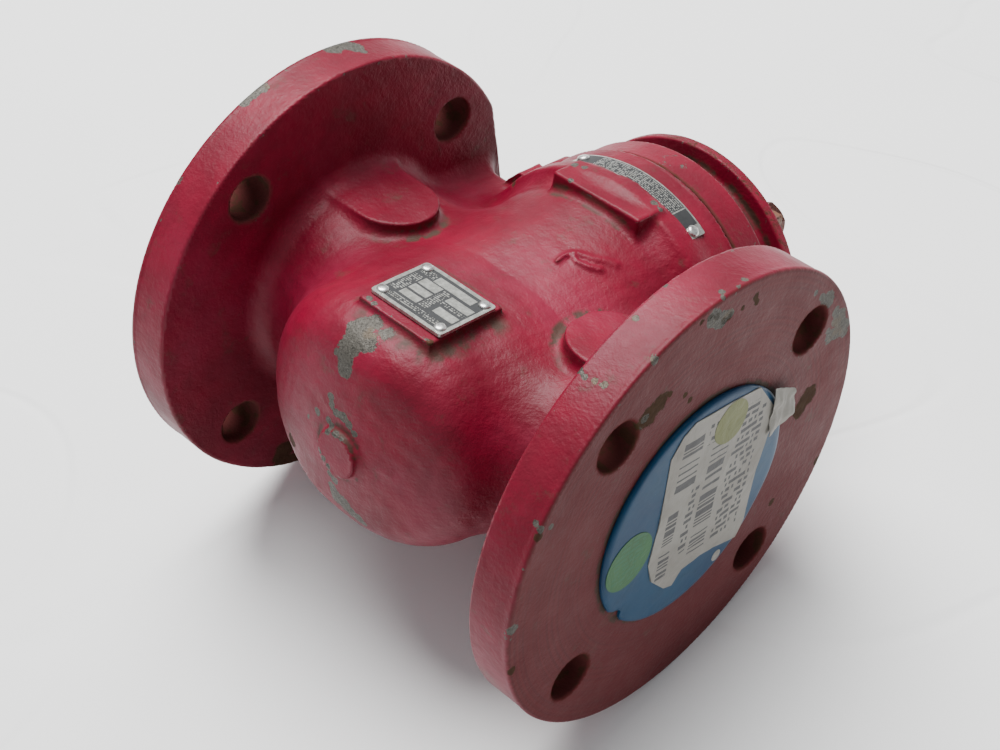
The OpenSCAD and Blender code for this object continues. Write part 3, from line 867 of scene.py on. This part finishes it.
# Bare and stained patches: place and reach of each, in valve millimetres. Those on the outlet's
# face leave out its x.
CHIPS = [
    (1.5, -41, -58.5, 3.4), (0.5, -39.5, -62, 3.6), (-8.4, -39.6, -68.7, 2.8),
    (-7.2, -42.3, -65.3, 3.2), (-8.6, -39.0, -63.6, 4.7), (-6.0, -40.6, -59.9, 4.3),
    (-1.5, -40.5, -59.7, 3.2), (-7.1, -36.4, -67.7, 4.6), (-2.0, -38.2, -64.9, 4.3),
    (-7.0, -32.7, -71.2, 3.6), (-5.8, -29.8, -73.1, 2.9), (-11.4, -32.7, -71.1, 2.1),
    (-9.5, -15.8, -76.2, 1.8), (-8.5, -12.9, -76.4, 1.8), (-5.6, -11.0, -76.4, 1.8),
    (-2.0, -11.4, -76.3, 2.2), (1.3, -9.8, -76.2, 1.8), (4.3, -7.6, -76.3, 1.4),
    (-15.7, -5.3, -76.7, 1.8), (-20.9, 0.5, -76.5, 1.5), (-25.2, 6.8, -76.2, 1.5),
    (-9.2, -5.5, -76.5, 1.5), (-6.8, -4.4, -76.7, 1.1), (-7.0, -3.2, -79.3, 1.8),
    (-2.8, -4.6, -79.3, 1.8), (0.4, -4.3, -79.3, 1.4), (-10.0, 8.5, -79.7, 1.5),
    (-7.6, 10.3, -79.7, 1.5), (-4.7, 12.2, -79.7, 1.5), (-7.3, 19.2, -76.2, 1.5),
    (-4.4, 20.6, -76.2, 1.9), (-6.2, 25.6, -75.7, 2.6), (-4.3, 29.0, -75.1, 3.0),
    (-0.1, 30.2, -74.8, 3.0), (3.6, 32.2, -73.9, 2.6), (7.0, 33.0, -73.5, 2.3),
    (9.3, 34.5, -72.4, 1.5), (-99.5, -95.1, -1.4, 3.2), (-99.8, -95.0, 4.6, 3.2),
    (-96.0, -94.7, 7.0, 3.2), (-91.1, -94.5, 7.8, 1.6), (-99.6, -88.0, -35.9, 2.7),
    (-100.0, -86.5, -39.8, 2.7), (-99.8, -84.4, -43.8, 2.3), (85.8, -88.2, -35.1, 1.0),
    (100.8, -94.7, -10.1, 1.3), (98.6, -94.5, -7.9, 1.0), (99.1, -94.8, 3.9, 1.3),
    (86.3, -75.1, -57.8, 1.3), (90.1, -75.5, -57.2, 1.0), (93.6, -76.0, -57.0, 1.0),
    (83.2, -75.6, -56.9, 1.0), (-20.3, -61.3, 59.5, 1.6), (-24.2, -57.2, 72.7, 2.0),
    (-16.0, -61.6, 60.6, 1.6), (-13.6, -61.1, 49.6, 1.2), (17.4, -61.4, 63.6, 1.6),
    (21.4, -61.0, 62.6, 1.2), (-14.2, -48.4, -56.0, 1.4), (-10.8, -48.3, -56.7, 1.1),
    (101.4, -36.8, -87.4, 1.6), (98.8, -37.4, -87.1, 1.0),
]
FACE_CHIPS = [
    (-65, 60, 3.0), (-51, 73, 3.4), (-44, 79, 3.2), (-44, 71, 2.9), (-88.5, -14, 2.9),
    (-85.5, -9, 2.9), (-86, -4, 1.8), (4, -93, 2.2), (-84, -43, 1.6), (-60, -42, 1.9),
    (-67.9, 55.7, 1.8), (-62.2, 63.0, 2.2), (-55.9, 69.4, 2.2), (-47.8, 76.7, 2.3),
    (-40.9, 80.9, 2.3), (-42.4, 74.3, 1.9), (-47.6, 67.6, 1.5), (-71.8, 50.4, 1.4),
    (-35.6, -82.6, 1.0),
]
# Stains, and near x −83 a darkened patch on the back of the inlet flange.
STAINS_AND_DARK_PATCHES = [
    (-82.7, 82.2, -29.9, 4.3), (-33.7, 22.8, -70.8, 2.7), (-82.9, 90.4, -25.3, 3.5),
    (-83.1, 89.3, -31.9, 2.6), (17.9, -48.1, -56.7, 1.4), (-48.7, -37.8, 59.5, 1.7),
    (-19.6, -58.9, 74.4, 1.6),
]
FACE_STAINS = [
    (-60, -40, 3.6), (-63, -35, 3.2), (-17, 66, 4.2), (-13, 63, 3.6), (60, 74, 1.8),
    (-34, -88, 1.8), (26, -90, 1.8), (33, 61, 1.8), (-89.5, -16.5, 1.6), (-88.1, -12.3, 1.6),
    (-84.3, -7.4, 1.7), (-89.7, -20.8, 1.3), (-85.1, -4.3, 1.7), (-85.3, 2.7, 1.3),
    (-87.0, 9.4, 1.7), (-84.4, 10.9, 1.4), (-58.4, -44.0, 2.0), (-59.4, -40.2, 2.3),
    (-61.9, -36.7, 2.3), (-63.4, -33.0, 1.6), (-64.6, -30.2, 1.3), (-59.7, -20.8, 1.0),
    (-55.8, -17.0, 1.0), (-12.4, 63.2, 2.7), (-16.0, 65.8, 3.1), (-20.0, 67.5, 2.7),
    (26.2, 89.7, 2.0),
]


def marks(points, spots):
    """How strongly each point belongs to a spot: 1 in its middle, 0.5 at its reach."""
    strength = np.zeros(len(points))
    for x, y, z, reach in spots:
        far = np.linalg.norm(points - np.array([x, y, z]), axis=1)
        size = max(reach, 1.3) * (1.25 if reach > 2.8 else 1.0)
        strength = maximum(strength, 1 - far / (2 * size))
    return strength


def weathering_and_shade(points, outward, field):
    """Corners that collect dirt and take painted shade, and edges that lose paint, from the shape itself."""
    ahead = field(*(points + 5 * outward).T)
    behind = field(*(points - 3 * outward).T)
    return {"grime_and_shade": clip(1.15 - ahead / 5, 0, 1), "wear": clip(1 + behind / 3, 0, 1)}


points, quads, outward = shape_mesh(casting, (-104, -98, -98), (104, 98, 98), GRID)
values = weathering_and_shade(points, outward, casting)
# Painted shadow: a dark ring on each flange face just round the raised protector disc, added to the corner
# darkening below.
off_disc = hypot(points[:, 1], points[:, 2]) - DISC_R
ring = (abs(points[:, 0]) > FACE_X - 0.3) * smooth((3.5 - off_disc) / 3.5)
# Dirt with painted shade along the lower edges of the nameplate pad.
pad_foot_grime_and_shade = [(21.5, -44, z, 4) for z in (-56, -50, -44, -38, -32, -26)]
pad_foot_grime_and_shade += [(x, -43, -60.5, 3) for x in (16, 10, 3, -5, -12)]
values["grime_and_shade"] = maximum.reduce([values["grime_and_shade"], ring * 0.75, marks(points, pad_foot_grime_and_shade) * 0.55])
values["chip"] = marks(points, CHIPS + [(OUTLET_FACE, *spot) for spot in FACE_CHIPS])
values["stain"] = marks(points, STAINS_AND_DARK_PATCHES + [(OUTLET_FACE, *spot) for spot in FACE_STAINS])
# Bolt holes: dark rust colour with painted shade, mixed in by the enamel.
values["bore"] = smooth((1.5 - abs(bolt_holes(*points.T))) / 1.5)
values["face"] = smooth((abs(points[:, 0]) - FACE_X + 0.6) / 0.5) * smooth(abs(outward[:, 0]) * 4 - 2.4)
add_object("body_casting", points, quads, enamel, "valve_body", ["valve_body"], "red_paint", values,
           outward=outward)


# ---- cover, top plate and what is on them
def add_shape(name, field, low, high, step, material, body, nodes, slot, extra=None):
    points, quads, outward = shape_mesh(field, low, high, step)
    values = weathering_and_shade(points, outward, field)
    if extra:
        values.update(extra(points))
    return add_object(name, points, quads, material, body, nodes, slot, values, outward=outward)


def seam_dirt_and_shade(points):
    """Dark dirt and painted shade at the bottom of the cover, where it meets the gasket."""
    return {"bore": smooth((90.1 - points[:, 2]) / 0.9)}


def rim_rust(points):
    """The plate's turned rim has lost most of its paint."""
    r = hypot(points[:, 0], points[:, 1])
    return {"stain": 0.42 * smooth((r - PLATE_R + 1.6) / 1.2)}


fine_step = 0.9
add_shape("cover_ring", cover_shape, (-63, -63, 50), (63, 63, 106), fine_step, enamel, "valve_body",
          ["cover"], "red_paint", seam_dirt_and_shade)
add_shape("top_plate_disc", plate_shape, (-61, -61, 102), (61, 61, 124), fine_step, enamel, "valve_body",
          ["top_plate"], "red_paint", rim_rust)


def stop_collar_shape(x, y, z):
    ring = hypot(x, y) - 23
    a = np.arctan2(y, x) - radians(STOP_AT)
    a = abs((a + pi) % (2 * pi) - pi)
    r = hypot(x, y)
    side = r * np.sin(minimum(a - radians(30), pi / 2))
    lug = round_meet(r - 34, side, 1.0)
    shape = round_union(ring, lug, 1.5)
    bore = maximum(hypot(x, y) - STEM_R - 0.1, y - 14.9)
    return round_meet(round_meet(shape, maximum(123 - z, z - 132), 0.6), -bore, 0.3)


add_shape("stop_collar_ring", stop_collar_shape, (-36, -36, 121.5), (36, 36, 133.5), 0.7, brown_steel,
          "plug", ["stop_collar"], "machined_steel")

around_plate = [radians(PLATE_SCREW_START + 90 * k) for k in range(4)]
screw_places = [(PLATE_SCREW_AT * cos(a), PLATE_SCREW_AT * sin(a)) for a in around_plate]
washer_profile = [(4.1, 122.05), (6.4, 122.0), (6.6, 122.3), (6.6, 123.2), (6.3, 123.5), (4.1, 123.45)]
washers = joined([moved(lathe(washer_profile, 40), x, y) for x, y in screw_places])
add_object("lock_washers", *washers, dull_enamel, "valve_body", ["plate_lock_washers"], "screw_steel",
           sharp=40)
shank = [(0, 92.2), (3.4, 92.2), (3.97, 93), (3.97, 123.6), (0, 123.6)]
bolts = []
for x, y in screw_places:
    bolts.append(moved(hexagon_head(12.7, 123.5, 128.8, 1.0), x, y))
    bolts.append(moved(lathe(shank, 24), x, y))
add_object("plate_bolts", *joined(bolts), dull_enamel, "valve_body", ["plate_screws"], "screw_steel",
           sharp=30)

half_pin = math.degrees(math.asin(3.5 / STOP_PIN_AT)) + 0.6
pin_profile = [(0, 114.1), (3.2, 114.1), (3.48, 114.6), (3.48, 130.2), (2.9, 131), (0, 131)]
pins = []
for degrees in (STOP_AT + 30 + half_pin, STOP_AT - 30 - 90 - half_pin):
    a = radians(degrees)
    pins.append(moved(lathe(pin_profile, 40), STOP_PIN_AT * cos(a), STOP_PIN_AT * sin(a)))
add_object("stop_dowels", *joined(pins), brown_steel, "valve_body", ["stop_pins"], "screw_steel", sharp=40)

head = hexagon_head(17.6, 176.2, 184.4, 1.6)
button = lathe([(0, 183.5), (8.0, 183.5), (8.0, 184.6), (7.2, 185.9), (5.6, 186.4), (0, 186.5)], 48)
stem_screw = lathe([(0, 116), (4.4, 116), (5.1, 117), (5.1, 176.3), (0, 176.3)], 40)
add_object("sealant_screw_head", *joined([head, button, stem_screw]), brown_steel, "sealant_screw",
           ["sealant_screw"], "screw_steel", sharp=30)

lug_profile = [(0, 68), (2.95, 68), (2.95, 86.6), (5.5, 86.6), (5.95, 87.1), (5.95, 100.6), (5.4, 102),
               (4.2, 102.6), (0, 102.6)]
add_object("lug_screw", *moved(lathe(lug_profile, 48), *LUG_SCREW), enamel, "valve_body",
           ["collar_lug_screw"], "red_paint", sharp=50)


gasket_ring = [(46.2, 86.55), (58.6, 86.55), (59.0, 86.8), (59.0, 88.2), (58.6, 88.45), (46.2, 88.45)]
add_object("cover_gasket_ring", *lathe(gasket_ring, 128), fibre, "valve_body", ["cover_gasket"], "gasket",
           sharp=50)

# ---- nameplate and lubrication band
def on_pad(part):
    """u along the pipe, v up the stem, height off the nameplate's pad."""
    p, faces = part
    return np.column_stack([p[:, 0] + 1.0, PAD_Y - p[:, 2], p[:, 1] - 38.7]), faces


def on_collar(part):
    """u round the collar, v up the stem, height off the collar."""
    p, faces = part
    a = radians(-86) + p[:, 0] / COLLAR_R
    r = COLLAR_R + 0.05 + p[:, 2]
    return np.column_stack([r * np.cos(a), r * np.sin(a), p[:, 1] + 70.75]), faces


def round_corners(half_u, half_v, radius):
    line = []
    for k, (su, sv) in enumerate(((1, 1), (-1, 1), (-1, -1), (1, -1))):
        for i in range(5):
            a = pi / 2 * (k + i / 4)
            u = su * (half_u - radius) + radius * cos(a)
            line.append((u, sv * (half_v - radius) + radius * sin(a)))
    return line


def sheet_values(part):
    p = part[0].copy()
    p[:, 2] = 0
    return {"sheet": p}


PLATE_LIGHT = [(-7.5, 11.5, 7.2, 11.2), (-10.5, -1.5, 2.2, 6.6), (-10.5, -1.5, -2.6, 1.2),
               (-10.5, -1.5, -7.4, -3.8), (4.0, 15.5, 1.6, 5.6), (5.5, 15.5, -6.2, -2.2)]
PLATE_DARK = [(-16.3, 16.3, -12.8, 12.8)]
PLATE_PRINT = [(-15.5, -11.2, -7.6, 6.4), (-15.0, -8.2, 8.0, 11.2), (-0.6, 3.2, -7.4, 6.4),
               (4.0, 15.0, -0.9, 0.9), (-12.5, 12.0, -11.8, -8.8)]
plate_alloy = etched_plate("etched_aluminium", PLATE_LIGHT, PLATE_DARK, PLATE_PRINT)
plate = sheet(dense(round_corners(18, 14.5, 1.6), 0.7), (0, 0), 30,
              lambda u, v: 1.42 + 0.06 * waves(u, v, 0 * u, 16, 31), lambda u, v: 0.15 + 0 * u)
add_object("name_plate", *on_pad(plate), plate_alloy, "valve_body", ["nameplate"], "plate_aluminium",
           sheet_values(plate), sharp=40)
rivet = [(0, -5), (1.1, -5), (1.1, 1.35), (2.3, 1.45), (2.35, 1.75), (2.0, 2.2), (1.3, 2.45), (0, 2.5)]
rivets = [moved(lathe(rivet, 32), x - 1.0, z + 38.7) for x in (-13.8, 15.6) for z in (-49.8, -27.2)]
add_object("plate_rivets", *on_pad(joined(rivets)), pin_metal, "valve_body", ["nameplate_pins"],
           "plate_aluminium", sharp=50)

BAND_LIGHT = [(19.9, 20.5, -5.2, 5.2)]
BAND_DARK = [(-31.0, 19.9, -4.5, 4.5), (20.5, 28.0, -4.5, 4.5)]
BAND_PRINT = [(-22.0, 19.5, -4.0, 4.0)]
band_alloy = etched_plate("etched_band", BAND_LIGHT, BAND_DARK, BAND_PRINT)
half_band = radians(30) * COLLAR_R
band = sheet(dense(round_corners(half_band, 5.25, 0.8), 0.9), (0, 0), 24,
             lambda u, v: 0.72 + 0.04 * waves(u, v, 0 * u, 12, 33), lambda u, v: 0.0 * u)
add_object("lubrication_strip", *on_collar(band), band_alloy, "valve_body", ["lubrication_band"],
           "plate_aluminium", sheet_values(band), sharp=40)
band_rivet = [(0, -4.4), (1.1, -4.4), (1.1, 0.7), (2.5, 0.8), (2.55, 1.1), (2.1, 1.7), (1.4, 2.0), (0, 2.05)]
band_rivets = [moved(lathe(band_rivet, 32), radians(a + 86) * COLLAR_R) for a in (-113.5, -58.5)]
add_object("strip_rivets", *on_collar(joined(band_rivets)), pin_metal, "valve_body", ["band_pins"],
           "plate_aluminium", sharp=50)


# ---- port protectors, label and stickers
DENTS = [(33, -34, 5, 0.9), (12, -22, 14, 0.5), (-30, -30, 16, 0.35), (20, 41, 9, 0.5)]


def disc_surface(u, v, seed):
    """Dents and waves of a protector's outer face, never above its nominal height."""
    dent = 0.0
    for du, dv, size, depth in DENTS:
        dent = dent + depth * np.exp(-((u - du) ** 2 + (v - dv) ** 2) / (2 * size * size))
    return -dent - 0.20 - 0.08 * waves(u, v, 0 * u, 34, seed)


def protector(seed):
    """Disc with a rounded rim and a skirt for the flow passage; w runs out of the valve."""
    top = [(r, DISC_T) for r in np.linspace(47.6, 0, 26)[:-1]] + [(0, DISC_T)]
    profile = [(0, -0.9)] + [(r, -0.9) for r in (9, 18, 27)] + [(35.0, -0.9), (35.2, -1.4), (35.2, -11.6)]
    profile += [(35.6, -12), (37.0, -12), (37.5, -11.4), (37.7, -1.0), (38.3, 0.1), (48.9, 0.1), (49.5, 0.5)]
    profile += [(49.7, 1.2), (49.4, 1.9), (48.7, 2.35)]
    points, faces = lathe(profile + top, 120)
    outer = points[:, 2] > 0.3
    points[outer, 2] += disc_surface(points[outer, 0], points[outer, 1], seed)
    r = hypot(points[:, 0], points[:, 1])
    nick = np.exp(-((points[:, 0] - 34) ** 2 + (points[:, 1] + 36) ** 2) / 12) * (r > 40)
    points[:, :2] *= (1 - 0.075 * nick)[:, None]
    points[:, 2] += 0.9 * nick * (points[:, 2] < 1)
    inner = (points[:, 2] < 0) & (r < 30)
    points[inner, 2] += disc_surface(points[inner, 0], points[inner, 1], seed)
    return points, faces


def at_outlet(part):
    p, faces = part
    return np.column_stack([FACE_X + p[:, 2], p[:, 0], p[:, 1]]), faces


def at_inlet(part):
    p, faces = part
    return np.column_stack([-FACE_X - p[:, 2], p[:, 1], p[:, 0]]), faces


OUTLET_SEED = 41
add_object("outlet_cap", *at_outlet(protector(OUTLET_SEED)), blue, "outlet_protector", ["outlet_protector"],
           "protector_plastic", sharp=50)
add_object("inlet_cap", *at_inlet(protector(43)), blue, "inlet_protector", ["inlet_protector"],
           "protector_plastic", sharp=50)


def on_disc(u, v):
    return DISC_T + disc_surface(u, v, OUTLET_SEED)


LABEL_LINE = [(-20.7, -22.5), (-1.6, -21.6), (16, -22.4), (26, -18.6), (35, -9.2), (36.5, -4), (31, 0.3),
              (29.5, 10.7), (34, 34), (27, 38), (1.5, 36.7), (-25.5, 40), (-43.3, 24.2), (-44.8, 7.8),
              (-45.4, -13.2), (-42, -18.8), (-34, -23.5)]


def label_wrinkles(u, v):
    folds = abs(waves(u, v, 0 * u, 24, 51)) * 0.22 + abs(waves(u, v, 0 * u, 10, 52)) * 0.07
    return 0.10 + 1.4 * folds


def label_top(u, v):
    return on_disc(u, v) + 0.12 + label_wrinkles(u, v)


label = sheet(dense(LABEL_LINE, 1.0), (-4, 6), 44, label_top, lambda u, v: on_disc(u, v) + 0.02)
CODE_AREAS = [(-38, -15, -17, -6), (-6, 27, -17, -11), (-30, 24, 1, 11)]
PRINT_AREAS = [(-12, 20, -6, -1.5), (-38, 24, 15, 31), (-40, -30, -3, 5)]
white = paper("label_paper", (0.27, 0.255, 0.225), (0.195, 0.18, 0.155),
              codes=[(CODE_AREAS, 0.75)], strokes=[(PRINT_AREAS, 1.25, 3.1, 5.0)])
add_object("shipping_label_sheet", *at_outlet(label), white, "outlet_protector", ["shipping_label"],
           "label_paper", sheet_values(label), sharp=60)

TAIL_LINE = [(-15, 37), (-17, 47), (-24, 51), (-34, 46), (-38, 34)]


def tail_top(u, v):
    folds = DISC_T + 1.2 + 0.6 * waves(u, v, 0 * u, 9, 61) + 0.2 * waves(u, v, 0 * u, 4, 62)
    return clip(folds, DISC_T + 0.4, 5.0)


tail = sheet(dense(TAIL_LINE, 0.8), (-25, 42), 16, tail_top, lambda u, v: tail_top(u, v) - 0.25)
add_object("label_tail", *at_outlet(tail), white, "outlet_protector", (), "label_paper", sheet_values(tail),
           sharp=60)

green = paper("green_paper", (0.028, 0.125, 0.038), (0.020, 0.092, 0.028), ink_colour=(0.02, 0.12, 0.05),
              strokes=[([(-4, 16, -44, -28)], 1.1, 2.4, 9.0)])
spot = sheet(circle((6.5, -35.5), 12.4), (6.5, -35.5), 14,
             lambda u, v: on_disc(u, v) + 0.15 + 0.05 * abs(waves(u, v, 0 * u, 12, 55)),
             lambda u, v: on_disc(u, v) + 0.02)
add_object("green_dot", *at_outlet(spot), green, "outlet_protector", ["green_sticker"], "green_paper",
           sheet_values(spot), sharp=60)
dab = sheet(circle((38, 24), 2.6, 32), (38, 24), 5, lambda u, v: on_disc(u, v) + 0.08,
            lambda u, v: on_disc(u, v) + 0.01)
add_object("white_dab", *at_outlet(dab), white, "outlet_protector", (), "label_paper", sheet_values(dab),
           sharp=60)
olive = paper("olive_paper", (0.155, 0.165, 0.055), (0.11, 0.12, 0.036))
spot = sheet(circle((-35.2, 9.4), 9.3), (-35.2, 9.4), 12, lambda u, v: label_top(u, v) + 0.12,
             lambda u, v: label_top(u, v) + 0.01)
add_object("olive_dot", *at_outlet(spot), olive, "outlet_protector", ["olive_sticker"], "olive_paper",
           sheet_values(spot), sharp=60)

# ---- CAD nodes that keep their shape
CAD_FINISH = {
    "plug": stem_steel, "cover_screws": screw_metal, "thrust_washer": bronze,
    "packing_ring_1": graphite, "packing_ring_2": graphite, "packing_ring_3": graphite,
    "gland_follower": bronze, "retaining_ring": screw_metal, "check_seat": bronze,
    "check_ball": turned, "check_retainer": turned,
}
for node, material in CAD_FINISH.items():
    shown = frame["nodes"][node]
    shown.data.materials.clear()
    shown.data.materials.append(material)

# ---- floor, light and camera
floor_mesh = bpy.data.meshes.new("floor")
reach = 6.0
floor_mesh.from_pydata([(-reach, -reach, FLOOR_Z), (reach, -reach, FLOOR_Z), (reach, reach, FLOOR_Z),
                        (-reach, reach, FLOOR_Z)], [], [(0, 1, 2, 3)])
floor_mesh.materials.append(floor_sheet("pale_floor"))
floor = bpy.data.objects.new("floor", floor_mesh)
show(floor)

world = bpy.data.worlds.new("studio")
world.use_nodes = True
world.node_tree.nodes["Background"].inputs[0].default_value = (0.93, 0.96, 1.0, 1)
world.node_tree.nodes["Background"].inputs[1].default_value = 0.42
bpy.context.scene.world = world


def area_light(name, place_m, aim_m, size, watts, colour=(1, 1, 1)):
    data = bpy.data.lights.new(name, "AREA")
    data.shape = "DISK"
    data.size = size
    data.energy = watts
    data.color = colour
    made = bpy.data.objects.new(name, data)
    made.location = place_m
    made.rotation_euler = (Vector(aim_m) - Vector(place_m)).to_track_quat("-Z", "Y").to_euler()
    show(made)


area_light("soft_key", (-0.45, 0.45, 1.6), (0.1, 0, 0), 1.5, 90)
area_light("soft_fill", (0.6, -1.3, 1.2), (0.1, 0, 0), 1.6, 1.5, (0.95, 0.97, 1.0))

CAMERA_AT = (347.5, -406.7, -427.0)
CAMERA_RIGHT = (0.716338, -0.119380, 0.687465)
CAMERA_UP = (-0.485094, -0.793402, 0.367691)
right, up = (Vector(np.array(d) @ AXES).normalized() for d in (CAMERA_RIGHT, CAMERA_UP))
back = right.cross(up).normalized()
up = back.cross(right)
lens = bpy.data.cameras.new("photo_camera")
lens.sensor_width = 36
lens.lens = 63.17
lens.clip_start = 0.01
camera = bpy.data.objects.new("photo_camera", lens)
turned_to = Matrix((right, up, back)).transposed().to_4x4()
camera.matrix_world = Matrix.Translation(Vector(to_row(CAMERA_AT))) @ turned_to
show(camera)
bpy.context.scene.camera = camera
